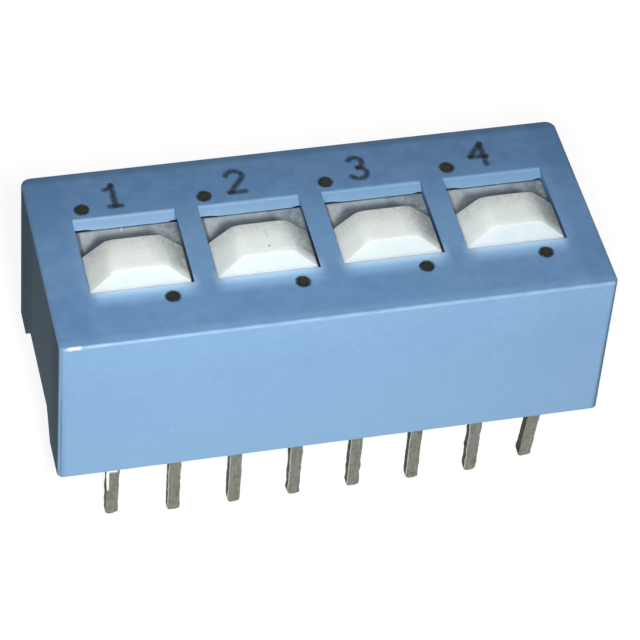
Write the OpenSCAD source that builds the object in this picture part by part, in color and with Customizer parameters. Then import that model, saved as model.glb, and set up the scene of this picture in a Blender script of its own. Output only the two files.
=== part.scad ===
// Slide-type DIP switch: four stations, two legs a station in each row.
// Origin: middle of the leg pattern, on the plane of the housing's bottom rim.
// +X runs along the leg rows from station 1 to station 4, +Z is up.
// The sliders are drawn at the front end of their travel (-Y).

/* [Leg pattern] */
// Distance between neighbouring legs of a row
leg_pitch = 2.54; // [2.1:0.01:3.2]
// Distance between the two rows of legs
row_spacing = 7.62; // [7:0.01:9.2]
// Length of a leg below the housing's rim
leg_l = 4.0; // [2.5:0.1:6]
// Width of a leg
leg_w = 0.52; // [0.3:0.01:0.6]
// Width of the strip that a leg is cut from, above the leg
strip_w = 0.8; // [0.65:0.05:0.95]
// Thickness of the leg strip
strip_t = 0.42; // [0.2:0.01:0.45]
// Inner radius of the bend from a leg into its contact pad
bend_r = 0.12; // [0.05:0.01:0.2]
// Length of the narrowing at a leg's tip
tip_l = 0.15; // [0.1:0.05:1]
// Lean of the first front leg towards the back row, in degrees
first_in = 3.6; // [0:0.1:8]
// Lean of the last front leg towards the back row, in degrees
last_in = 5.8; // [0:0.1:8]
// Lean of the last front leg towards its neighbour, in degrees
last_aside = 0.7; // [0:0.1:4]

/* [Housing] */
// Height of the housing above its rim
body_h = 7.35; // [6:0.05:9]
// Overhang of the housing past the stations, at each end
end_over = 1.1; // [0.9:0.02:2]
// Thickness of the top wall around the windows
top_wall = 0.6; // [0.4:0.05:0.8]
// Thickness of the long side walls
side_wall = 0.62; // [0.42:0.02:1]
// Thickness of the end walls beside the base
end_wall = 0.9; // [0.6:0.05:1]
// Thickness of the ribs between two stations
rib_t = 0.4; // [0.3:0.05:0.6]
// Lean of each outer wall over the housing's height
draft = 0.06; // [0.02:0.02:0.16]
// Radius of the two upright corners at the front, at the top
front_r = 0.12; // [0.12:0.02:0.4]
// Radius of the two upright corners at the back, at the top
back_r = 0.42; // [0.12:0.02:0.5]
// Radius along the top edges
edge_r = 0.1; // [0.05:0.01:0.1]
// Shift of the windows and sliders along the body, from the leg pattern
station_shift = 0.16; // [0:0.02:0.2]
// Width of the ledge that the base stops against
ledge = 0.1; // [0.05:0.05:0.3]

/* [End notches] */
// Width of the notch in each end wall, at the rim
notch_w = 6.1; // [4:0.1:6.4]
// Width of the notch at its top
notch_top_w = 4.4; // [2:0.1:5]
// Height of the notch above the rim
notch_h = 1.25; // [0.6:0.05:1.3]
// Shift of the notch towards the back
notch_shift = 0.1; // [0:0.05:0.3]

/* [Base and seal] */
// Height of the recess under the seal, above the rim
recess_h = 1.4; // [1.3:0.05:1.7]
// Thickness of the sealing resin under the base
seal_t = 0.5; // [0.3:0.05:0.7]

/* [Sliders] */
// Travel of a slider from front to back
slide_travel = 1.95; // [1.6:0.05:2.4]
// Length of the knob along its travel, where it passes the top wall
knob_l = 1.95; // [1.5:0.05:2.3]
// Length of the knob's flat top
knob_top_l = 1.76; // [1.3:0.01:1.85]
// Width of the knob's flat top
knob_top_w = 2.05; // [1.6:0.01:2.6]
// Height of the knob above the housing
knob_h = 0.83; // [0.5:0.01:1.2]
// Height of the outer edge of the knob's flanks above the housing
knob_step = -0.03; // [-0.1:0.01:0.2]
// Radius of the two edges where the knob's flanks meet its top
knob_r = 0.3; // [0.04:0.01:0.36]
// Radius of the knob's top edges at the front and back
knob_end_r = 0.06; // [0.04:0.01:0.1]
// Thickness of the slider's plate
plate_t = 1.2; // [0.9:0.05:1.5]
// Width of the top wall's ledge over the plate, on each side of the window
lip = 0.275; // [0.2:0.005:0.4]
// Cover of the plate past the window's end at each limit of travel
cover = 0.06; // [0.01:0.01:0.2]
// Distance that the sliders rest off the middle of their windows, towards station 1
slider_play = 0.04; // [0:0.01:0.04]
// Flare of each side of a window down through the top wall
window_flare = 0.13; // [0:0.01:0.13]
// Room in each window behind the knob's travel
back_room = 0.05; // [0:0.01:0.05]
// Radius of each window's back edge, at the top
rim_r = 0.16; // [0.05:0.01:0.3]
// Diameter of the peg that holds the spring contact
peg_d = 0.8; // [0.5:0.05:0.9]
// Length of the peg below the spring contact
peg_l = 0.25; // [0.1:0.05:0.4]

/* [Spring contacts] */
// Thickness of the spring strip
spring_t = 0.12; // [0.08:0.01:0.16]
// Width of a spring finger
finger_w = 0.6; // [0.4:0.05:0.8]
// Distance from the peg to the point where a finger touches its pad
finger_reach = 1.4; // [1.3:0.05:1.6]
// Length of the upturned end past that point
finger_tip = 0.4; // [0.2:0.05:0.5]
// Rise of the upturned end
tip_rise = 0.3; // [0.1:0.05:0.4]
// Length of the web that the peg goes through
web_l = 1.3; // [1.2:0.05:1.5]
// Height of the spring contact, from its web to the pads
spring_h = 1.15; // [0.8:0.05:1.4]

/* [Pads] */
// Width of the bar that joins the two legs of a common terminal
bar_w = 0.5; // [0.3:0.05:0.7]
// Distance from a throw pad's end to the finger that has left it
open_gap = 0.5; // [0.3:0.05:0.7]

/* [Clearances] */
// Gap between the plate and the top wall
lid_gap = 0.1; // [0.08:0.01:0.2]
// Gap between the plate and the ribs beside it
side_gap = 0.1; // [0.05:0.01:0.15]
// Gap between the plate and the side wall at each limit of travel
end_gap = 0.1; // [0.05:0.01:0.2]
// Gap between the knob and the window's end at each limit of travel
knob_gap = 0.08; // [0.02:0.01:0.12]
// Gap between the knob and the window's sides
knob_side_gap = 0.06; // [0.06:0.01:0.12]
// Gap between the runners and the pads beside them
pad_gap = 0.09; // [0.05:0.01:0.12]
// Gap between the runners and the base
runner_gap = 0.05; // [0.03:0.01:0.1]
// Gap between the fingers and the pads
finger_gap = 0.03; // [0.02:0.01:0.05]
// Gap between the peg and the spring contact's hole
peg_gap = 0.02; // [0.01:0.01:0.05]
// Gap between the base and the housing
base_gap = 0.03; // [0.01:0.01:0.06]
// Gap between the base and the leg strips
slot_gap = 0.02; // [0.01:0.01:0.05]

/* [Hidden] */

stations = 4;
arc_steps = 6;
overrun = 1;

// Along the body
station_pitch = 2 * leg_pitch;
body_l = stations * station_pitch + 2 * end_over;
cell_w = station_pitch - rib_t;
window_w = cell_w - 2 * lip;
plate_w = cell_w - 2 * side_gap;
knob_w = window_w - 2 * knob_side_gap;
slider_shift = station_shift - slider_play;
runner_t = (plate_w - leg_pitch - strip_w) / 2 - slider_shift - pad_gap;
base_room_l = body_l - 2 * end_wall;

// Across the body
window_l = slide_travel + knob_l + 2 * knob_gap;
plate_l = window_l + slide_travel + 2 * cover;
cell_l = max(plate_l + slide_travel, row_spacing + strip_t) + 2 * end_gap;
base_room_w = cell_l + 2 * ledge;
body_w = base_room_w + 2 * side_wall;
slider_rest_y = -slide_travel / 2;

// Up the body
ceiling_z = body_h - top_wall;
plate_z = ceiling_z - lid_gap - plate_t;
pad_z = plate_z - spring_h;
base_z = pad_z - strip_t;
base_bottom_z = recess_h + seal_t;
knob_top_z = body_h + knob_h;
leg_root = strip_t / 4;

// Pads
throw_end_y = finger_reach - slide_travel / 2 + open_gap;

plastic_blue = [0.36, 0.56, 0.76];
plastic_white = [0.90, 0.92, 0.92];
plastic_black = [0.16, 0.16, 0.17];
resin_amber = [0.30, 0.26, 0.20];
tin = [0.70, 0.71, 0.68];
gold = [0.83, 0.68, 0.35];

function unit(v) = v / norm(v);

// Points of the arc of radius r that rounds corner b of the path a, b, c
function corner_arc(a, b, c, r) =
  let (
    u = unit(a - b),
    v = unit(c - b),
    half = acos(u * v) / 2,
    centre = b + unit(u + v) * r / sin(half),
    first = b + u * r / tan(half) - centre,
    last = b + v * r / tan(half) - centre,
    start = atan2(first.y, first.x),
    turn = atan2(last.y, last.x) - start,
    sweep = turn > 180 ? turn - 360 : turn < -180 ? turn + 360 : turn
  )
  [for (k = [0 : arc_steps])
    let (angle = start + sweep * k / arc_steps)
    centre + r * [cos(angle), sin(angle)]];

// An outline with its corners rounded, each to its own radius; 0 leaves it sharp
function rounded(points, radii) =
  let (n = len(points))
  [for (i = [0 : n - 1])
    each radii[i] == 0
      ? [points[i]]
      : corner_arc(points[(i + n - 1) % n], points[i], points[(i + 1) % n], radii[i])];

// A line of points moved sideways by the same distance all along
function strip_edge(line, offset) =
  [for (i = [0 : len(line) - 1])
    let (
      before = line[max(i - 1, 0)],
      after = line[min(i + 1, len(line) - 1)],
      along = unit(after - before)
    )
    line[i] + offset * [-along.y, along.x]];

function station_x(i) = (i - (stations + 1) / 2) * station_pitch;

// Extrudes an outline drawn in Y and Z along X, centred on the Y-Z plane
module along_x(length) {
  rotate([90, 0, 90])
    translate([0, 0, -length / 2])
      linear_extrude(length)
        children();
}

// Extrudes an outline drawn in X and Z along Y, centred on the X-Z plane
module along_y(length) {
  rotate([90, 0, 0])
    translate([0, 0, -length / 2])
      linear_extrude(length)
        children();
}

module box(x, y, z, low_z) {
  translate([-x / 2, -y / 2, low_z])
    cube([x, y, z]);
}

// Section of the outer wall, drawn inwards from the rim's outer edge: it leans in, and
// its top edge is rounded
module wall_section(depth) {
  polygon(rounded(
    [[-depth, 0], [0, 0], [-draft, body_h], [-depth, body_h]],
    [0, 0, edge_r, 0]));
}

// The wall's section run along one side of the block, which it faces by its turn
module wall(reach, from, to, depth, turn) {
  rotate([0, 0, turn])
    translate([reach, (from + to) / 2, 0])
      along_y(to - from)
        wall_section(depth);
}

// The wall's section turned round the axis of an upright corner
module corner(x, y, depth, turn) {
  translate([x, y, 0])
    rotate([0, 0, turn])
      rotate_extrude(angle = 90, $fn = 48)
        translate([depth, 0])
          wall_section(depth);
}

// The moulded block: a core, four walls and four corners of the same section
module housing_block() {
  front_rim_r = front_r + draft;
  back_rim_r = back_r + draft;
  front_x = body_l / 2 - front_rim_r;
  front_y = body_w / 2 - front_rim_r;
  back_x = body_l / 2 - back_rim_r;
  back_y = body_w / 2 - back_rim_r;
  translate([-back_x, -front_y, 0])
    cube([2 * back_x, front_y + back_y, body_h]);
  wall(body_l / 2, -front_y, back_y, back_rim_r, 0);
  wall(body_w / 2, -back_x, back_x, back_rim_r, 90);
  wall(body_l / 2, -back_y, front_y, back_rim_r, 180);
  wall(body_w / 2, -front_x, front_x, front_rim_r, 270);
  corner(back_x, back_y, back_rim_r, 0);
  corner(-back_x, back_y, back_rim_r, 90);
  corner(-front_x, -front_y, front_rim_r, 180);
  corner(front_x, -front_y, front_rim_r, 270);
}

// A window through the top wall: its sides flare downwards and its back edge is rounded
module window() {
  low = ceiling_z - overrun;
  high = body_h + overrun;
  front = -window_l / 2;
  back = window_l / 2 + back_room;
  run_out = 2 * rim_r;
  function side_at(z) = window_w / 2 + window_flare * (body_h - z) / top_wall;
  intersection() {
    along_y(2 * window_l)
      polygon([
        [-side_at(low), low], [side_at(low), low],
        [side_at(high), high], [-side_at(high), high]]);
    along_x(2 * window_w)
      polygon(rounded(
        [[front, low], [back, low], [back, body_h],
        [back + run_out, body_h + run_out / 8], [back + run_out, high], [front, high]],
        [0, 0, rim_r, 0, 0, 0]));
  }
}

module end_notch() {
  along_x(body_l + 2 * overrun)
    translate([notch_shift, 0])
      polygon([
        [-notch_w / 2, -overrun], [notch_w / 2, -overrun],
        [notch_w / 2, 0], [notch_top_w / 2, notch_h],
        [-notch_top_w / 2, notch_h], [-notch_w / 2, 0]]);
}

module housing() {
  color(plastic_blue)
    difference() {
      housing_block();
      box(base_room_l, base_room_w, base_z + overrun, -overrun);
      for (i = [1 : stations])
        translate([station_x(i) + station_shift, 0, 0]) {
          box(cell_w, cell_l, ceiling_z, 0);
          window();
        }
      end_notch();
    }
}

// The part of a base slot that clears a leg strip and the inside of its bend
module strip_slot() {
  slot_t = strip_t + 2 * slot_gap;
  relief = bend_r + slot_gap;
  translate([0, -row_spacing / 2, 0]) {
    box(strip_w + 2 * slot_gap, slot_t, body_h, 0);
    translate([-strip_w / 2 - slot_gap, strip_t / 2, base_z - relief])
      cube([strip_w + 2 * slot_gap, relief, relief + overrun]);
  }
}

module base() {
  color(plastic_black)
    difference() {
      box(
        base_room_l - 2 * base_gap, base_room_w - 2 * base_gap,
        base_z - base_bottom_z, base_bottom_z);
      at_each_leg()
        strip_slot();
    }
}

module seal() {
  color(resin_amber)
    difference() {
      box(base_room_l, base_room_w, seal_t, recess_h);
      at_each_leg()
        translate([0, -row_spacing / 2, 0])
          box(leg_w, strip_t, body_h, 0);
    }
}

// Repeats what is drawn for the front row at every leg of both rows
module at_each_leg() {
  for (turn = [0, 180], i = [1 : 2 * stations])
    rotate([0, 0, turn])
      translate([(i - stations - 0.5) * leg_pitch, 0, 0])
        children();
}

// The slider's knob: a ridge across the body, sloped on both flanks
module knob() {
  low = plate_z;
  step = body_h + knob_step;
  front = -knob_l / 2;
  front_top = knob_l / 2 - knob_top_l;
  intersection() {
    along_y(knob_l)
      polygon(rounded([
        [-knob_w / 2, low], [knob_w / 2, low], [knob_w / 2, step],
        [knob_top_w / 2, knob_top_z], [-knob_top_w / 2, knob_top_z], [-knob_w / 2, step]],
        [0, 0, knob_end_r, knob_r, knob_r, knob_end_r]));
    along_x(knob_w)
      polygon(rounded([
        [front, low], [knob_l / 2, low], [knob_l / 2, knob_top_z],
        [front_top, knob_top_z], [front, body_h]],
        [0, 0, knob_end_r, knob_end_r, 0]));
  }
}

module slider(i) {
  color(plastic_white)
    translate([station_x(i) + slider_shift, slider_rest_y, 0]) {
      box(plate_w, plate_l, plate_t, plate_z);
      for (side = [-1, 1])
        translate([side * (plate_w - runner_t) / 2, 0, 0])
          box(runner_t, plate_l, plate_z - base_z - runner_gap, base_z + runner_gap);
      translate([0, 0, plate_z - spring_t - peg_l])
        cylinder(d = peg_d, h = spring_t + peg_l + plate_t / 2, $fn = 32);
      knob();
    }
}

// Middle line of a finger, from the web down to its pad and up to the tip
function finger_line() =
  let (
    start = web_l / 2,
    high = plate_z - spring_t / 2,
    low = pad_z + finger_gap + spring_t / 2,
    run = finger_reach - start
  )
  concat(
    [[0, high]],
    [for (k = [0 : 2 * arc_steps])
      let (u = k / (2 * arc_steps))
      [start + run * u, high + (low - high) * (1 - cos(180 * u)) / 2]],
    [for (k = [1 : arc_steps])
      let (u = k / arc_steps)
      [finger_reach + finger_tip * u, low + tip_rise * pow(u, 2)]]);

module spring_contact(i) {
  line = finger_line();
  upper = strip_edge(line, spring_t / 2);
  lower = strip_edge(line, -spring_t / 2);
  outline = concat(upper, [for (k = [len(line) - 1 : -1 : 0]) lower[k]]);
  color(gold)
    translate([station_x(i) + slider_shift, slider_rest_y, 0]) {
      for (side = [-1, 1], turn = [0, 180])
        rotate([0, 0, turn])
          translate([side * leg_pitch / 2, 0, 0])
            along_x(finger_w)
              polygon(outline);
      difference() {
        box(leg_pitch, web_l, spring_t, plate_z - spring_t);
        cylinder(d = peg_d + 2 * peg_gap, h = body_h, $fn = 32);
      }
    }
}

// A front-row leg with its strip bent over the base as far as end_y
module leg_strip(end_y) {
  outer = -row_spacing / 2 - strip_t / 2;
  inner = outer + strip_t;
  intersection() {
    along_x(strip_w)
      polygon(rounded([
        [outer, 0], [outer, pad_z], [end_y, pad_z],
        [end_y, base_z], [inner, base_z], [inner, 0]],
        [0, bend_r + strip_t, 0, 0, bend_r, 0]));
    union() {
      box(strip_w, 2 * row_spacing, body_h, base_bottom_z);
      box(leg_w, 2 * row_spacing, body_h, 0);
    }
  }
}

// Outline of a leg of width w, narrowing at its tip
function leg_outline(w) = [
  [-w / 2, leg_root], [-w / 2, tip_l - leg_l], [-0.38 * w, -leg_l],
  [0.38 * w, -leg_l], [w / 2, tip_l - leg_l], [w / 2, leg_root]];

// The leg below the rim, turned by lean about the point where it leaves the housing
module leg(lean = [0, 0, 0]) {
  translate([0, -row_spacing / 2, 0])
    rotate(lean)
      intersection() {
        along_y(strip_t)
          polygon(leg_outline(leg_w));
        along_x(leg_w)
          polygon(leg_outline(strip_t));
      }
}

// One stamping with a leg in each row: front left and back right of its station
module common_terminal(i) {
  color(tin)
    translate([station_x(i), 0, 0]) {
      for (turn = [0, 180])
        rotate([0, 0, turn])
          translate([-leg_pitch / 2, 0, 0]) {
            leg_strip(bar_w / 2);
            leg(i == 1 && turn == 0 ? [first_in, 0, 0] : [0, 0, 0]);
          }
      box(leg_pitch, bar_w, strip_t, base_z);
    }
}

module front_terminal(i) {
  color(tin)
    translate([station_x(i) + leg_pitch / 2, 0, 0]) {
      leg_strip(-throw_end_y);
      leg(i == stations ? [last_in, last_aside, 0] : [0, 0, 0]);
    }
}

module back_terminal(i) {
  color(tin)
    translate([station_x(i) - leg_pitch / 2, 0, 0])
      rotate([0, 0, 180]) {
        leg_strip(-throw_end_y);
        leg();
      }
}

housing();
base();
seal();
for (i = [1 : stations]) {
  slider(i);
  spring_contact(i);
  common_terminal(i);
  front_terminal(i);
  back_terminal(i);
}
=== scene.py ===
import math

import bmesh
import bpy
from mathutils import Matrix, Vector, noise


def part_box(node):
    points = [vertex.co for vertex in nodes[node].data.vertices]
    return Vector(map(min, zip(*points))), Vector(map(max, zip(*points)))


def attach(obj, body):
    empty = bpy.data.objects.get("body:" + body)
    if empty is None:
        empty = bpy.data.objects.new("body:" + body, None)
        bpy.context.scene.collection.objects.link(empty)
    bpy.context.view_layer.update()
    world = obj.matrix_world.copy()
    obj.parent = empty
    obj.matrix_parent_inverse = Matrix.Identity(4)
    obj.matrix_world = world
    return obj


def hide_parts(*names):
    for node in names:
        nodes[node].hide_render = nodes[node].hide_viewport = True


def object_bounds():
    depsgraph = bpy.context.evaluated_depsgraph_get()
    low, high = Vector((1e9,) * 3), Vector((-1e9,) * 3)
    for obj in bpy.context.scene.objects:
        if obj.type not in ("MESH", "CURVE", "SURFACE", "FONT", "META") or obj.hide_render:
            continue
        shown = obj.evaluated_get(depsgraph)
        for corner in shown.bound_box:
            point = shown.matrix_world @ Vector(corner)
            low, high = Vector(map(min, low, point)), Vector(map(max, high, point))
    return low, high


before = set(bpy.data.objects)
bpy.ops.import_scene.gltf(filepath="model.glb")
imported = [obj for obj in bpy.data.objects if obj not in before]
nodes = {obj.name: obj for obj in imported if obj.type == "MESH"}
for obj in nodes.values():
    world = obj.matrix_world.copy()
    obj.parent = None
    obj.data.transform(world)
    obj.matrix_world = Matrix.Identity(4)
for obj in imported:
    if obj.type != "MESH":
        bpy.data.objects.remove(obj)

cad_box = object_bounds()
MM = 0.001


# The view. A long lens looks down on the front left corner of the switch, a little
# turned about its own axis. It stands 12.6 cm off.
AZIMUTH = math.radians(-16.80)
ELEVATION = math.radians(46.11)
TURN = math.radians(5.297)
DISTANCE = 125.53 * MM
SIDESTEP = 0.580 * MM
LIFT = 1.488 * MM
SENSOR = 36
LENS = 169.58

back = Vector((
    math.sin(AZIMUTH) * math.cos(ELEVATION),
    -math.cos(AZIMUTH) * math.cos(ELEVATION),
    math.sin(ELEVATION)))
level = Vector((math.cos(AZIMUTH), math.sin(AZIMUTH), 0))
rise = back.cross(level)
right = level * math.cos(TURN) + rise * math.sin(TURN)
up = rise * math.cos(TURN) - level * math.sin(TURN)
camera = bpy.data.objects.new("camera", bpy.data.cameras.new("camera"))
camera.data.lens = LENS
camera.data.sensor_width = SENSOR
camera.data.clip_start = 0.01
camera.matrix_world = Matrix.Translation(
    back * DISTANCE + right * SIDESTEP + up * LIFT
) @ Matrix((right, up, back)).transposed().to_4x4()
bpy.context.scene.collection.objects.link(camera)
bpy.context.scene.camera = camera


# The studio. A small soft lamp stands close in front, a little to the left, so that its
# light falls off towards the back. A weak low one stands behind, in a dim room. A lamp is
# set by the share of its light that a white face turned to it would send back.
bpy.context.scene.view_settings.view_transform = "Standard"


def lamp(name, azimuth, elevation, distance, size, share):
    data = bpy.data.lights.new(name, "AREA")
    data.size = size
    data.energy = share * (math.pi * distance) ** 2
    az, el = math.radians(azimuth), math.radians(elevation)
    away = Vector((math.sin(az) * math.cos(el), -math.cos(az) * math.cos(el), math.sin(el)))
    obj = bpy.data.objects.new(name, data)
    obj.matrix_world = (
        Matrix.Translation(away * distance) @ away.to_track_quat("Z", "Y").to_matrix().to_4x4())
    obj.visible_camera = False
    bpy.context.scene.collection.objects.link(obj)


lamp("key_lamp", -12.8, 47.0, 0.063, 0.013, 0.95)
lamp("back_lamp", 165, 14, 0.30, 0.12, 0.16)


class Wire:
    """One socket of a node tree, with the tree that it belongs to."""

    def __init__(self, tree, socket=None):
        self.tree = tree
        self.socket = socket

    def add(self, kind, settings=None, inputs=None, output=0):
        """A new node, shader or full type name, and the wire that leaves it."""
        node = self.tree.nodes.new(kind if "Node" in kind else "ShaderNode" + kind)
        for name, value in (settings or {}).items():
            setattr(node, name, value)
        for name, value in (inputs or {}).items():
            if isinstance(value, Wire):
                self.tree.links.new(value.socket, node.inputs[name])
            else:
                node.inputs[name].default_value = value
        return Wire(self.tree, node.outputs[output]) if node.outputs else None

    def out(self, name):
        """Another output of the node that this wire leaves."""
        return Wire(self.tree, self.socket.node.outputs[name])

    def math(self, operation, *values):
        return self.add("Math", {"operation": operation}, dict(enumerate(values)))

    def __add__(self, other):
        return self.math("ADD", self, other)

    def __radd__(self, other):
        return self.math("ADD", other, self)

    def __sub__(self, other):
        return self.math("SUBTRACT", self, other)

    def __rsub__(self, other):
        return self.math("SUBTRACT", other, self)

    def __mul__(self, other):
        return self.math("MULTIPLY", self, other)

    def __rmul__(self, other):
        return self.math("MULTIPLY", other, self)

    def __truediv__(self, other):
        return self.math("DIVIDE", self, other)

    def __pow__(self, other):
        return self.math("POWER", self, other)

    def __abs__(self):
        return self.math("ABSOLUTE", self)

    def step(self, low, high):
        """0 below low, 1 above high, and smooth between them."""
        return self.add(
            "MapRange", {"interpolation_type": "SMOOTHSTEP"}, {0: self, 1: low, 2: high})

    def mix(self, factor, a, b):
        return self.add("Mix", {"data_type": "RGBA"}, {0: factor, 6: a, 7: b}, 2)


def background_rays(w):
    """1 on a ray that sees the white background, and 0 on one that carries light."""
    ray = w.add("LightPath")
    mirrored = w.math("MAXIMUM", ray.out("Is Glossy Ray"), ray.out("Is Transmission Ray"))
    return w.math("MAXIMUM", ray.out("Is Camera Ray"), mirrored)


room = bpy.data.worlds.new("room")
bpy.context.scene.world = room
room.use_nodes = True
room.node_tree.nodes.clear()
w = Wire(room.node_tree)
dim = w.add("Background", None, {"Color": (1.0, 0.94, 0.86, 1), "Strength": 0.08})
bright = w.add("Background", None, {"Color": (1, 1, 1, 1), "Strength": 1})
w.add("OutputWorld", None, {
    "Surface": w.add("MixShader", None, {0: background_rays(w), 1: dim, 2: bright})})


# The floor. A plain pale board that the legs' tips stand on. It keeps the soft shadow of
# the switch, and it shows as white, also in what the tin of the legs mirrors.
FLOOR_R = 600 * MM


def finish(name):
    """A new empty material, and the wire that its nodes are added with."""
    material = bpy.data.materials.new(name)
    material.use_nodes = True
    material.node_tree.nodes.clear()
    return material, Wire(material.node_tree)


board, w = finish("white_board")
place = w.add("TexCoord").out("Object")
cloud = w.add("TexNoise", None, {"Vector": place, "Scale": 18, "Detail": 3})
paper = w.mix(cloud.step(0.3, 0.7), (0.46, 0.46, 0.46, 1), (0.50, 0.50, 0.50, 1))
matt = w.add("BsdfDiffuse", None, {"Color": paper})
glow = w.add("Emission", None, {"Color": (1, 1, 1, 1), "Strength": 0.87})
lit = w.add("AddShader", None, {0: matt, 1: glow})
w.add("OutputMaterial", None, {
    "Surface": w.add("MixShader", None, {0: background_rays(w), 1: matt, 2: lit})})

bm = bmesh.new()
bmesh.ops.create_circle(bm, cap_ends=True, segments=96, radius=FLOOR_R)
bmesh.ops.translate(bm, vec=(0, 0, cad_box[0][2]), verts=bm.verts)
floor_mesh = bpy.data.meshes.new("floor")
bm.to_mesh(floor_mesh)
bm.free()
floor_mesh.materials.append(board)
floor = bpy.data.objects.new("floor", floor_mesh)
bpy.context.scene.collection.objects.link(floor)


# The housing. One injection moulding in sky blue thermoplastic, with four windows over
# the stations. Its colour carries painted shade and light: the top is painted darker, most
# towards the back, and lighter in front of each window, the front edges carry painted
# highlights, and the ends are painted dark.
HALF_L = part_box("housing")[1].x / MM
HALF_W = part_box("housing")[1].y / MM
BODY_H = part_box("housing")[1].z / MM
PITCH = 5.08
WINDOW_SHIFT = 0.16
CORNER_R = 0.28
CORNER_ZONE = 0.45
TOP_EASE = 0.099


def piece_of(name, mesh, body):
    """A finished piece from a mesh, riding on its body."""
    piece = bpy.data.objects.new(name, mesh)
    bpy.context.scene.collection.objects.link(piece)
    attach(piece, body)
    return piece


def eased(name, source, body, material, width, steps, shape):
    """A copy of a CAD node with its sharp outer edges broken, which stands for the node."""
    bm = bmesh.new()
    bm.from_mesh(nodes[source].data)
    bmesh.ops.remove_doubles(bm, verts=bm.verts, dist=1e-7)
    bmesh.ops.dissolve_limit(
        bm, angle_limit=math.radians(1), verts=bm.verts, edges=bm.edges)
    sharp = [
        e for e in bm.edges
        if len(e.link_faces) == 2 and e.is_convex and e.calc_face_angle() > math.radians(38)]
    bmesh.ops.bevel(
        bm, geom=sharp, offset=width, offset_type="OFFSET", segments=steps, profile=0.5,
        affect="EDGES", clamp_overlap=True)
    shape(bm)
    mesh = bpy.data.meshes.new(name)
    bm.to_mesh(mesh)
    bm.free()
    mesh.materials.append(material)
    mesh.shade_smooth()
    mesh.set_sharp_from_angle(angle=math.radians(30))
    rough = bpy.data.objects.new(name + "_rough", mesh)
    bpy.context.scene.collection.objects.link(rough)
    rough.modifiers.new("weight", "WEIGHTED_NORMAL").keep_sharp = True
    bpy.context.view_layer.update()
    plain = bpy.data.meshes.new_from_object(
        rough.evaluated_get(bpy.context.evaluated_depsgraph_get()))
    bpy.data.objects.remove(rough)
    piece = piece_of(name, plain, body)
    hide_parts(source)
    return piece


def millimetres(w):
    """Object coordinates in millimetres, whole and as X, Y and Z."""
    place = w.add("TexCoord").out("Object")
    whole = w.add("VectorMath", {"operation": "SCALE"}, {0: place, 3: 1000})
    parts = w.add("SeparateXYZ", None, {0: whole})
    return whole, parts, parts.out("Y"), parts.out("Z")


def grain(w, at, size, detail=2, rough=0.5):
    """Soft noise from 0 to 1 whose blobs are about size millimetres."""
    return w.add("TexNoise", None, {
        "Vector": at, "Scale": 1 / size, "Detail": detail, "Roughness": rough})


def specks(w, at, spacing, size, share):
    """1 on scattered dots of about size millimetres, in one cell of share."""
    cells = w.add("TexVoronoi", {"feature": "F1"}, {"Vector": at, "Scale": 1 / spacing})
    chance = w.add("TexWhiteNoise", None, {"Vector": cells.out("Position")})
    dot = 1 - cells.step(0.25 * size / spacing, 0.5 * size / spacing)
    return dot * w.math("LESS_THAN", chance, share)


blue, w = finish("blue_moulding")
at, x, y, z = millimetres(w)
colour = w.mix(
    grain(w, at, 4.0).step(0.35, 0.65), (0.226, 0.418, 0.668, 1), (0.240, 0.438, 0.690, 1))
mottle = grain(w, at, 0.35, 4, 0.6).step(0.3, 0.7) * 0.6
colour = w.mix(mottle, colour, (0.208, 0.385, 0.625, 1))
mottle = grain(w, at, 0.10, 3, 0.6).step(0.4, 0.8) * 0.4
colour = w.mix(mottle, colour, (0.200, 0.375, 0.620, 1))
top = z.step(BODY_H - 0.10, BODY_H - 0.01)
# Painted light: the walls are lighter towards the bottom, for light thrown up by the floor.
colour = w.mix((1 - z.step(0, 5.5)) * 0.55, colour, (0.268, 0.488, 0.750, 1))
aside = abs(x - WINDOW_SHIFT)
off_middle = w.math("PINGPONG", (x - WINDOW_SHIFT) / PITCH + 0.5, 0.5) * PITCH
before = (1 - y.step(-1.9, -1.4)) * (1 - off_middle.step(1.6, 2.4)) * (1 - aside.step(9.4, 9.9))
# Painted light: the top is kept light just before each window, where the knob's white front throws
# light onto it.
knob_light_pool = y.step(-3.0, -2.25) * before
# Painted shade: the top is painted darker than the walls, more towards the back and near the ends,
# less along the front rim, and not in front of the windows. The same amount also takes most of the
# gloss off the top.
film = 0.76 - 0.08 * y.step(-2.4, -1.6) + 0.25 * y.step(0.2, 3.6)
film = film + 0.12 * aside.step(9.7, 10.2) - 0.2 * (0 - y).step(4.2, 4.6)
film = top * film * (1 - knob_light_pool) * (0.91 + 0.18 * grain(w, at, 0.8, 5, 0.65).step(0.3, 0.7))
colour = w.mix(film, colour, (0.104, 0.216, 0.398, 1))
# Painted shade: a darker band along the top's back rim.
colour = w.mix(top * y.step(4.2, 4.6) * 0.5, colour, (0.060, 0.110, 0.180, 1))
# Painted light: a lighter strip right before each window, lit by the knob's front, and a lighter
# band on each window's back wall, strongest at the left, where the lamp lights it.
knob_light_strip = top * y.step(-2.45, -2.05) * before * 0.75
back_wall_light = (1 - top) * y.step(2.0, 2.1) * (1 - y.step(2.3, 2.4)) * (0.42 - 0.27 * x.step(-9, 2))
colour = w.mix(knob_light_strip + back_wall_light, colour, (0.44, 0.62, 0.82, 1))
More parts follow.
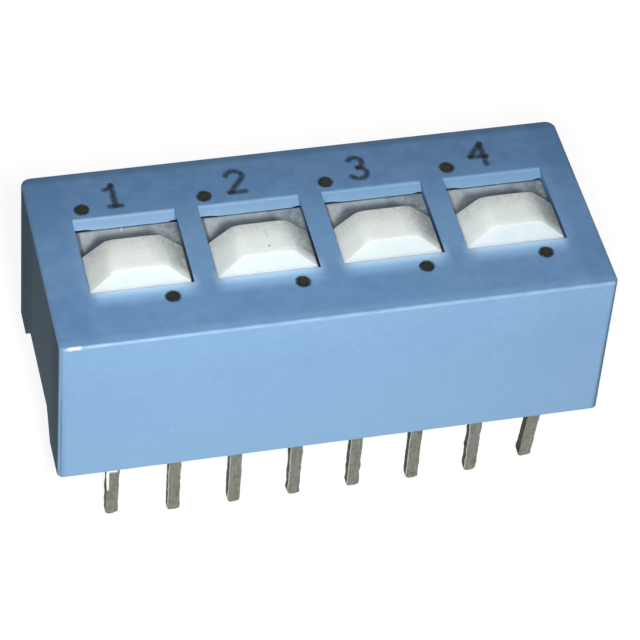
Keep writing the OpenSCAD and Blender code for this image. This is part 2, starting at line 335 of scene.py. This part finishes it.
# Painted shade: the ends, which face away from the lamp, are painted a dark grey, less high up
# towards the back, and paler along their middle.
end_shade = abs(x).step(HALF_L - 0.20, HALF_L - 0.10) * y.step(-4.70, -4.60) * (1 - top)
end_shade = end_shade * (1 - 0.4 * y.step(0, 4) * z.step(3, 7))
end_shade = end_shade * (0.68 + 0.16 * grain(w, at, 0.7, 5, 0.65).step(0.3, 0.7))
end_middle = y.step(-4.2, -2.4) * (1 - y.step(1.0, 2.2))
end_shade_colour = w.mix(end_middle, (0.262, 0.330, 0.375, 1), (0.345, 0.430, 0.490, 1))
colour = w.mix(end_shade, colour, end_shade_colour)
patchy = 0.5 + 0.5 * grain(w, at, 0.7, 4, 0.7).step(0.35, 0.65)
# Painted highlight: a patchy lighter line along the top front edge and down the front left corner,
# and a near-white glint on the top front edge near its left end. The top front edge is also made
# smoother.
edge = (z - y).step(BODY_H + HALF_W - 0.19, BODY_H + HALF_W - 0.13) * patchy
glint = edge * x.step(-10.95, -10.75) * (1 - x.step(-10.45, -10.25))
corner = (0 - x - y).step(HALF_L + HALF_W - 0.23, HALF_L + HALF_W - 0.17) * patchy * z.step(1.5, 6)
colour = w.mix(edge * 0.5 + corner * 0.2, colour, (0.48, 0.66, 0.84, 1))
colour = w.mix(glint * 0.9, colour, (0.95, 0.97, 1.0, 1))
colour = w.mix(specks(w, at, 2.2, 0.14, 0.30) * 0.4, colour, (0.62, 0.72, 0.84, 1))
colour = w.mix(specks(w, at, 3.1, 0.11, 0.30) * 0.5, colour, (0.05, 0.08, 0.12, 1))
gloss = (0.34 + 0.10 * grain(w, at, 1.3, 3) + 0.04 * grain(w, at, 0.15, 2)) * (1 - 0.4 * edge)
skin = grain(w, at, 0.06, 2) * 0.35 + grain(w, at, 0.9, 3) * 1.2
bump = w.add("Bump", None, {"Strength": 0.22, "Distance": 0.02 * MM, "Height": skin})
shiny = w.add("BsdfPrincipled", None, {
    "Base Color": colour, "Roughness": gloss, "Normal": bump, "Specular IOR Level": 0.5})
dry = w.add("BsdfPrincipled", None, {
    "Base Color": colour, "Roughness": 1.0, "Normal": bump, "Specular IOR Level": 0.0})
turned = w.add("LayerWeight", None, {"Blend": 0.5}).out("Facing")
sheen = (1 - turned.step(0.35, 0.75)) * (1 - 0.8 * film) * (0.8 + 0.2 * grain(w, at, 1.1, 3))
w.add("OutputMaterial", None, {
    "Surface": w.add("MixShader", None, {0: sheen, 1: dry, 2: shiny})})


def rounder(bm):
    """Widens the radius of the two front corners, level by level."""
    for n in range(1, 7):
        inset = CORNER_R * n / 5
        for place, along in (
                ((inset - HALF_L, 0, 0), (1, 0, 0)), ((HALF_L - inset, 0, 0), (1, 0, 0)),
                ((0, inset - HALF_W, 0), (0, 1, 0))):
            bmesh.ops.bisect_plane(
                bm, geom=[*bm.verts, *bm.edges, *bm.faces], dist=1e-7,
                plane_co=Vector(place) * MM, plane_no=along)
    for side in (-1, 1):
        levels = {}
        for v in bm.verts:
            beside = side * v.co.x / MM > HALF_L - CORNER_ZONE
            if beside and v.co.y / MM < CORNER_ZONE - HALF_W:
                levels.setdefault(round(v.co.z / MM, 3), []).append(v)
        out = {z: max(side * v.co.x for v in ring) / MM for z, ring in levels.items()}
        wall = min(x for z, x in out.items() if 1 < z < BODY_H - TOP_EASE)
        for z, ring in levels.items():
            front = min(v.co.y for v in ring) / MM
            r = CORNER_R - max(0, wall - out[z] if z > 1 else 0)
            for v in ring:
                away = Vector((out[z] - r - side * v.co.x / MM, front + r - v.co.y / MM))
                if away.x < 0 < away.y and away.length > r:
                    away *= 1 - r / away.length
                    v.co += Vector((side * away.x, away.y, 0)) * MM


eased("housing_moulding", "housing", "body", blue, 0.035 * MM, 3, rounder)


# The flash. A ragged film of plastic that the mould left along the lower edge of each
# window's back wall. It fills most of the gap over the slider's plate.
TOP_WALL = 0.6
CEILING = BODY_H - TOP_WALL
WINDOW_BACK = 2.08
FLASH = 0.065
FLASH_LEFT = -1.48
FLASH_LONG = 3.48
FLASH_STEPS = 40

bm = bmesh.new()
for n in range(4):
    middle = (n - 1.5) * PITCH + WINDOW_SHIFT
    rings = []
    for k in range(FLASH_STEPS + 1):
        u = FLASH_LEFT + FLASH_LONG * k / FLASH_STEPS
        end = min(1, k / 3, (FLASH_STEPS - k) / 2)
        wavy = 0.95 + 0.25 * noise.noise(Vector((middle + u, 0, 0)) * 3)
        deep = FLASH * end * wavy + 0.004
        rings.append([
            bm.verts.new(Vector((middle + u, WINDOW_BACK + out, CEILING + rise)) * MM)
            for out, rise in ((0.005, 0.01), (0.005, -deep), (0.08, -deep), (0.13, 0.01))])
    for a, b in zip(rings, rings[1:]):
        for k in range(4):
            bm.faces.new((a[k], a[k - 1], b[k - 1], b[k]))
    bm.faces.new(rings[0])
    bm.faces.new(reversed(rings[-1]))
bmesh.ops.recalc_face_normals(bm, faces=bm.faces)
film_edge = bpy.data.meshes.new("moulding_flash")
bm.to_mesh(film_edge)
bm.free()
film_edge.materials.append(blue)
piece_of("moulding_flash", film_edge, "body")


# The printed marks. A digit stands behind each window, with a dot at each end of the
# knob's travel, pad printed in dark ink that has bled a little at its edges. Each place
# is given from the middle of its window, in millimetres.
STROKE = 0.34
FILM = 0.006
DOT_R = 0.35
BACK_DOTS = ((-1.59, 2.63), (-1.70, 2.62), (-1.76, 2.65), (-1.72, 2.70))
FRONT_DOTS = ((1.08, -2.67), (1.20, -2.72), (1.15, -2.68), (0.99, -2.69))
BOW_STEPS = 12


def bow(x, y, rx, ry, start, end):
    """Points along an arc, its angles in degrees."""
    turns = [
        math.radians(start + (end - start) * n / BOW_STEPS) for n in range(BOW_STEPS + 1)]
    return [(x + rx * math.cos(t), y + ry * math.sin(t)) for t in turns]


DIGITS = (
    ([(-0.50, 3.60), (-0.36, 3.66), (-0.23, 3.82)], [(-0.21, 3.84), (-0.21, 2.64)],
     [(-0.45, 2.63), (0.03, 2.63)]),
    ([*bow(-0.28, 3.57, 0.33, 0.29, 165, -20), (-0.60, 2.67)], [(-0.60, 2.65), (0.02, 2.65)]),
    (bow(-0.31, 3.58, 0.29, 0.29, 148, -78), bow(-0.29, 2.95, 0.34, 0.32, 82, -150)),
    ([(-0.06, 3.86), (-0.60, 3.15)], [(-0.60, 3.14), (0.08, 3.14)], [(-0.04, 3.87), (-0.04, 2.66)]),
)


def print_tree():
    """Strokes become thin strips along their lines, and loose points become discs."""
    tree = bpy.data.node_groups.new("print_marks", "GeometryNodeTree")
    face = tree.interface
    face.new_socket("Geometry", in_out="INPUT", socket_type="NodeSocketGeometry")
    face.new_socket("Stroke Width", in_out="INPUT", socket_type="NodeSocketFloat")
    face.new_socket("Film", in_out="INPUT", socket_type="NodeSocketFloat")
    face.new_socket("Ink", in_out="INPUT", socket_type="NodeSocketMaterial")
    face.new_socket("Geometry", in_out="OUTPUT", socket_type="NodeSocketGeometry")
    w = Wire(tree)
    given = w.add("NodeGroupInput")
    width, film = given.out("Stroke Width"), given.out("Film")
    place = w.add("SeparateXYZ", None, {0: w.add("GeometryNodeInputPosition")})

    def read(name):
        return w.add("GeometryNodeInputNamedAttribute", {"data_type": "FLOAT"}, {"Name": name})

    def store(geometry, name, value):
        return w.add("GeometryNodeStoreNamedAttribute", {"data_type": "FLOAT"}, {
            "Geometry": geometry, "Name": name, "Value": value})

    profile = w.add("GeometryNodeCurvePrimitiveQuadrilateral", None, {
        "Width": width, "Height": film})
    lines = w.add("GeometryNodeSetCurveNormal", {"mode": "Z_UP"}, {
        "Curve": w.add("GeometryNodeMeshToCurve", None, {"Mesh": given})})
    strips = w.add("GeometryNodeCurveToMesh", None, {
        "Curve": lines, "Profile Curve": store(profile, "across", place), "Fill Caps": True})
    strips = store(strips, "reach", width * 0.5)

    radius = read("dot_r")
    points = w.add("GeometryNodeMeshToPoints", None, {
        "Mesh": given, "Selection": w.math("GREATER_THAN", radius, 0.0)})
    disc = w.add("GeometryNodeMeshCylinder", {"fill_type": "TRIANGLE_FAN"}, {
        "Vertices": 40, "Radius": 1.0, "Depth": 1.0})
    disc = store(disc, "across", (place * place + place.out("Y") * place.out("Y")) ** 0.5)
    discs = w.add("GeometryNodeRealizeInstances", None, {
        "Geometry": w.add("GeometryNodeInstanceOnPoints", None, {
            "Points": points, "Instance": disc,
            "Scale": w.add("CombineXYZ", None, {0: radius, 1: radius, 2: film})})})
    discs = store(discs, "across", read("across") * radius)
    discs = store(discs, "reach", radius)

    both = w.add("GeometryNodeJoinGeometry")
    for part in (strips, discs):
        tree.links.new(part.socket, both.socket.node.inputs[0])
    w.add("NodeGroupOutput", None, {"Geometry": w.add("GeometryNodeSetMaterial", None, {
        "Geometry": w.add("GeometryNodeRealizeInstances", None, {"Geometry": both}),
        "Material": given.out("Ink")})})
    return tree


def grown(name, source, tree, values):
    """The plain mesh that a Geometry Nodes tree makes of a source mesh."""
    obj = bpy.data.objects.new(name, source)
    bpy.context.scene.collection.objects.link(obj)
    modifier = obj.modifiers.new("nodes", "NODES")
    modifier.node_group = tree
    for socket in tree.interface.items_tree:
        if socket.in_out == "INPUT" and socket.name in values:
            modifier[socket.identifier] = values[socket.name]
    bpy.context.view_layer.update()
    mesh = bpy.data.meshes.new_from_object(
        obj.evaluated_get(bpy.context.evaluated_depsgraph_get()))
    bpy.data.objects.remove(obj)
    return mesh


ink, w = finish("black_ink")
at = millimetres(w)[0]
across = w.add("Attribute", {"attribute_name": "across"}).out("Fac")
past = w.add("Attribute", {"attribute_name": "past"}).out("Fac")
reach = w.add("Attribute", {"attribute_name": "reach"}).out("Fac")
inside = (reach - (across * across + past * past) ** 0.5) / MM
ragged = inside + 0.16 * (grain(w, at, 0.10, 4, 0.7) - 0.5) + 0.06 * (grain(w, at, 0.3) - 0.5)
dot = reach.step(0.25 * MM, 0.30 * MM)
laid = 0.27 + 0.34 * dot + 0.12 * grain(w, at, 0.12, 3).step(0.3, 0.6)
cover = ragged.step(-0.02, 0.15) * laid
colour = w.mix(
    grain(w, at, 0.2, 3).step(0.3, 0.7), (0.012, 0.018, 0.012, 1), (0.028, 0.030, 0.020, 1))
colour = w.mix(inside.step(0.19, 0.32) * 0.7, colour, (0.060, 0.036, 0.016, 1))
bump = w.add("Bump", None, {
    "Strength": 0.3, "Distance": 0.01 * MM, "Height": grain(w, at, 0.05, 3)})
w.add("OutputMaterial", None, {"Surface": w.add("BsdfPrincipled", None, {
    "Base Color": colour, "Roughness": 0.55 + 0.2 * grain(w, at, 0.2), "Alpha": cover,
    "Normal": bump, "Specular IOR Level": 0.15})})

bm = bmesh.new()
past_end = bm.verts.layers.float.new("past")
dot_r = bm.verts.layers.float.new("dot_r")
for n in range(4):
    middle = (n - 1.5) * PITCH + WINDOW_SHIFT
    for layer, stroke in enumerate(DIGITS[n]):
        height = BODY_H + FILM * (0.6 + 0.15 * layer)
        line = [Vector(p) for p in stroke]
        before = line[0] + (line[0] - line[1]).normalized() * STROKE / 2
        after = line[-1] + (line[-1] - line[-2]).normalized() * STROKE / 2
        path = [
            bm.verts.new(Vector((middle + p.x, p.y, height)) * MM)
            for p in (before, *line, after)]
        path[0][past_end] = path[-1][past_end] = STROKE / 2 * MM
        for a, b in zip(path, path[1:]):
            bm.edges.new((a, b))
    for dot in (BACK_DOTS[n], FRONT_DOTS[n]):
        spot = bm.verts.new(Vector((middle + dot[0], dot[1], BODY_H + FILM * 0.6)) * MM)
        spot[dot_r] = DOT_R * MM
lines = bpy.data.meshes.new("mark_lines")
bm.to_mesh(lines)
bm.free()
marks = grown("mark_lines", lines, print_tree(), {
    "Stroke Width": STROKE * MM, "Film": FILM * MM, "Ink": ink})
piece_of("printed_marks", marks, "body")


# The sliders. Each is a white moulding whose ridge stands through its window and whose
# plate slides under the top wall. The knob carries painted shade towards its back and on
# its sides, and the plate is painted dark, as shadow and shade, everywhere but at its two back
# corners.
SLIDER_SHIFT = 0.12
PLATE_Z = 6.65
KNOB_TOP = 2.05
FLANK = math.radians(41.3)
DRAWN_R = 0.3
ROLLED_R = 0.8
ROLL_REACH = 0.32
CUTS = 9
CUT_STEP = 0.07
MOULD_LINE_X = -7.55
HAIR_X = -2.263
PIT_X = -2.294
PIT_Y = -1.351

white, w = finish("white_moulding")
at, x, y, z = millimetres(w)
colour = w.mix(
    grain(w, at, 1.8, 3).step(0.3, 0.7), (0.79, 0.855, 0.845, 1), (0.83, 0.895, 0.885, 1))
batch = w.math("PINGPONG", x / (2 * PITCH) + 0.25, 0.5) * 2
colour = w.mix(batch.step(0.35, 0.65) * 0.6, colour, (0.80, 0.845, 0.80, 1))
colour = w.mix(grain(w, at, 0.12, 3, 0.6).step(0.45, 0.8) * 0.35, colour, (0.66, 0.72, 0.71, 1))
across = (w.math("FRACT", (x - SLIDER_SHIFT) / PITCH + 2) - 0.5) * PITCH
blotch = 0.6 + 0.8 * grain(w, at, 0.22, 5, 0.7).step(0.3, 0.7)
# Painted shade: the knob is greyed towards its back, which faces away from the lamp, and a little
# down its left side.
knob_shade = (0.5 * y.step(-1.15, -0.05) + 0.12 * (0 - across).step(1.0, 2.0)) * blotch
colour = w.mix(knob_shade, colour, (0.46, 0.50, 0.48, 1))
# Painted shade: the knob's right side darkens outwards, towards the window's right wall, and
# towards its back.
right_flank_shade = 0.28 * across.step(0.4, 1.0) + 0.55 * across.step(1.15, 1.85)
right_flank_shade = right_flank_shade * blotch * y.step(-1.80, -1.15)
colour = w.mix(right_flank_shade, colour, (0.27, 0.31, 0.31, 1))
# Painted shadow and shade: the plate is painted darker all over, much darker up to a line a little
# behind the knob, where the knob's shadow falls, with the line lying further forward at the sides,
# and darker along the window's left wall.
plate = 1 - z.step(PLATE_Z + 0.02, PLATE_Z + 0.15)
behind = 1 - (y + 0.9 * abs(across).step(0.9, 2.0)).step(1.55, 2.05)
behind = 0.58 * behind + 0.6 * (1 - across.step(-1.81, -1.70))
colour = w.mix(plate * (0.25 + behind), colour, (0.10, 0.115, 0.145, 1))
witness = plate * (1 - abs(x - MOULD_LINE_X).step(0.02, 0.06)) * y.step(1.80, 1.95)
colour = w.mix(witness * 0.7, colour, (0.82, 0.86, 0.86, 1))
hair = (1 - abs(x - HAIR_X).step(0.006, 0.022)) * y.step(-0.95, -0.85)
hair = hair * (1 - y.step(-0.42, -0.32))
pit = 1 - (((x - PIT_X) ** 2 + (y - PIT_Y) ** 2) ** 0.5).step(0.02, 0.07)
colour = w.mix((hair * 0.35 + pit * 0.8) * (1 - plate), colour, (0.10, 0.10, 0.10, 1))
colour = w.mix(specks(w, at, 0.9, 0.07, 0.25) * 0.5, colour, (0.42, 0.41, 0.38, 1))
gloss = 0.42 + 0.14 * grain(w, at, 0.6, 3)
skin = grain(w, at, 0.05, 2) * 0.3 + grain(w, at, 0.5, 3) * 1.0
bump = w.add("Bump", None, {"Strength": 0.25, "Distance": 0.02 * MM, "Height": skin})
w.add("OutputMaterial", None, {"Surface": w.add("BsdfPrincipled", None, {
    "Base Color": colour, "Roughness": gloss, "Normal": bump, "Specular IOR Level": 0.3,
    "Subsurface Weight": 1.0, "Subsurface Radius": (1.0, 1.0, 1.0),
    "Subsurface Scale": 0.45 * MM})})


def ridge(u, r, high):
    """Height of the knob at u from its middle, when its side edges have the radius r."""
    reach = r * math.tan(FLANK / 2)
    past = u - KNOB_TOP / 2 + reach
    if past <= 0:
        return high
    if past >= reach * (1 + math.cos(FLANK)):
        return high - math.tan(FLANK) * (u - KNOB_TOP / 2)
    return high - r + math.sqrt(r * r - past * past)


def rolled(bm):
    """Rolls the two side edges of the knob's top over to a wider radius."""
    knob = [v for v in bm.verts if v.co.z / MM > BODY_H + 0.2]
    high = max(v.co.z for v in knob) / MM
    middle = (min(v.co.x for v in knob) + max(v.co.x for v in knob)) / 2 / MM
    for n in range(CUTS):
        for side in (-1, 1):
            u = KNOB_TOP / 2 - ROLL_REACH + CUT_STEP * n
            bmesh.ops.bisect_plane(
                bm, geom=[*bm.verts, *bm.edges, *bm.faces], dist=1e-7,
                plane_co=((middle + side * u) * MM, 0, 0), plane_no=(1, 0, 0))
    for v in bm.verts:
        u = abs(v.co.x / MM - middle)
        if v.co.z / MM > BODY_H and u < KNOB_TOP / 2 + 0.5:
            left = (ridge(u, ROLLED_R, high) - BODY_H) / (ridge(u, DRAWN_R, high) - BODY_H)
            v.co.z = (BODY_H + (v.co.z / MM - BODY_H) * left) * MM


for n in range(1, 5):
    eased(
        f"slider_moulding_{n}", f"slider_{n}", f"switch_{n}", white,
        0.04 * MM, 3, rolled)


# The spring contacts. Four fingers stamped and formed in one from spring strip, plated
# yellow, and pushed on the peg under each slider.
gold, w = finish("gold_plating")
at = millimetres(w)[0]
colour = w.mix(grain(w, at, 0.5, 3), (0.80, 0.58, 0.26, 1), (0.88, 0.66, 0.32, 1))
gloss = 0.22 + 0.12 * grain(w, at, 0.2, 3)
bump = w.add("Bump", None, {
    "Strength": 0.2, "Distance": 0.01 * MM, "Height": grain(w, at, 0.08, 2)})
w.add("OutputMaterial", None, {"Surface": w.add("BsdfPrincipled", None, {
    "Base Color": colour, "Metallic": 1, "Roughness": gloss, "Normal": bump})})
for n in range(1, 5):
    contact = nodes[f"spring_contact_{n}"]
    contact.data.materials.clear()
    contact.data.materials.append(gold)


# The terminals. Stamped from tinned copper alloy strip and bent over the base. The tin
# has dulled to a greenish grey, with streaks drawn down the legs by the press. The sides
# that the press sheared are bare, and are painted nearly black as shade, with a painted
# highlight along their edges, and the first leg carries painted glints.
RING = 0.2
LUMP = 0.038
TIP = 0.20
LEAN = 0.05
LUMPS = 3.4
LEG_GRID = 1.27
TIP_DRAW = 0.9

tin, w = finish("dull_tin")
at, x, y, z = millimetres(w)
drawn = w.add("VectorMath", {"operation": "MULTIPLY"}, {0: at, 1: (1, 1, 0.12)})
streak = grain(w, drawn, 0.09, 4, 0.6)
stain = grain(w, at, 0.22, 5, 0.7)
# Painted shade on the sheared sides, nearly black, and a painted highlight on the narrow faces
# along their edges. The sheared sides are also rougher.
cut = w.add("Attribute", {"attribute_name": "cut"}).out("Fac")
leg_edge_highlight = (0 - cut).step(0.5, 1)
cut = cut.step(0.5, 1)
colour = w.mix(streak.step(0.3, 0.7), (0.155, 0.165, 0.130, 1), (0.220, 0.230, 0.195, 1))
colour = w.mix(stain.step(0.48, 0.70) * 0.7, colour, (0.095, 0.100, 0.075, 1))
colour = w.mix(cut * 0.95, colour, (0.010, 0.011, 0.008, 1))
colour = w.mix(leg_edge_highlight * 0.6, colour, (0.55, 0.57, 0.52, 1))
# Painted highlight: near-white glints on the left of the leftmost front leg, high up.
bright = (0 - x).step(8.97, 9.03) * z.step(-2.4, -2.25)
bright = bright + (0 - x).step(8.62, 8.70) * z.step(-1.25, -1.12)
bright = bright * (0 - y).step(3.0, 3.2) * (1 - cut)
colour = w.mix(bright, colour, (0.86, 0.86, 0.82, 1))
gloss = 0.38 + 0.2 * stain + 0.15 * cut
bump = w.add("Bump", None, {
    "Strength": 0.4, "Distance": 0.015 * MM, "Height": streak + stain * 0.6})
w.add("OutputMaterial", None, {"Surface": w.add("BsdfPrincipled", None, {
    "Base Color": colour, "Metallic": 0.85, "Roughness": gloss, "Normal": bump})})


def stamped(bm):
    """Marks the sheared sides for painted shade and their edges for a painted highlight, rounds the
    tips, and sets the legs uneven.
    """
    mark = bm.faces.layers.float.new("cut")
    for f in bm.faces:
        f.normal_update()
        # 1 on the sheared sides, for painted shade, and -1 on the faces along their edges, for a
        # painted highlight.
        f[mark] = 1 if abs(f.normal.x) > 0.9 else -1 if abs(f.normal.x) > 0.35 else 0
    low = min(v.co.z for v in bm.verts) / MM
    levels = [-RING * n for n in range(1, int(-low / RING))]
    levels += [low + TIP * part for part in (1, 0.7, 0.45, 0.25, 0.12, 0.04)]
    for height in levels:
        bmesh.ops.bisect_plane(
            bm, geom=[*bm.verts, *bm.edges, *bm.faces], dist=1e-7,
            plane_co=(0, 0, height * MM), plane_no=(0, 0, 1))
    tips = {}
    for v in bm.verts:
        if v.co.z / MM < low + TIP:
            tips.setdefault((round(v.co.x / MM / LEG_GRID), v.co.y > 0), []).append(v)
    for tip in tips.values():
        middle = (min(v.co.x for v in tip) + max(v.co.x for v in tip)) / 2
        half = (max(v.co.x for v in tip) - middle) / MM
        for v in tip:
            down = TIP - max(0, v.co.z / MM - low)
            drawn_in = (TIP - math.sqrt(TIP ** 2 - down ** 2)) * TIP_DRAW / half
            v.co.x = middle + (v.co.x - middle) * (1 - drawn_in)
    for v in bm.verts:
        if v.co.z < 0:
            wave = noise.noise_vector(v.co / MM * LUMPS)
            v.co += Vector((wave.x * LUMP + LEAN, wave.y * LUMP, 0)) * MM


for kind in ("common", "front", "back"):
    for n in range(1, 5):
        eased(
            f"{kind}_strip_{n}", f"{kind}_terminal_{n}", "body", tin,
            0.03 * MM, 2, stamped)


# The base. A moulding in black thermoplastic filled with glass, which closes the housing
# from below. The terminals are pressed into slots in it.
black, w = finish("black_moulding")
at = millimetres(w)[0]
colour = w.mix(grain(w, at, 0.8, 3), (0.022, 0.022, 0.024, 1), (0.036, 0.036, 0.038, 1))
colour = w.mix(specks(w, at, 0.3, 0.08, 0.3) * 0.5, colour, (0.12, 0.12, 0.12, 1))
gloss = 0.45 + 0.15 * grain(w, at, 0.4, 3)
bump = w.add("Bump", None, {
    "Strength": 0.3, "Distance": 0.02 * MM, "Height": grain(w, at, 0.1, 3)})
w.add("OutputMaterial", None, {"Surface": w.add("BsdfPrincipled", None, {
    "Base Color": colour, "Roughness": gloss, "Normal": bump})})
nodes["base"].data.materials.clear()
nodes["base"].data.materials.append(black)


# The seal. Brown resin, poured over the base's underside after the terminals are in. It
# wets the legs and the walls, and has set with a gloss.
resin, w = finish("poured_resin")
at = millimetres(w)[0]
colour = w.mix(grain(w, at, 1.6, 3), (0.055, 0.040, 0.022, 1), (0.085, 0.062, 0.034, 1))
gloss = 0.16 + 0.14 * grain(w, at, 0.9, 3)
bump = w.add("Bump", None, {
    "Strength": 0.35, "Distance": 0.06 * MM, "Height": grain(w, at, 1.4, 2)})
w.add("OutputMaterial", None, {"Surface": w.add("BsdfPrincipled", None, {
    "Base Color": colour, "Roughness": gloss, "Normal": bump, "Coat Weight": 0.3})})
nodes["seal"].data.materials.clear()
nodes["seal"].data.materials.append(resin)
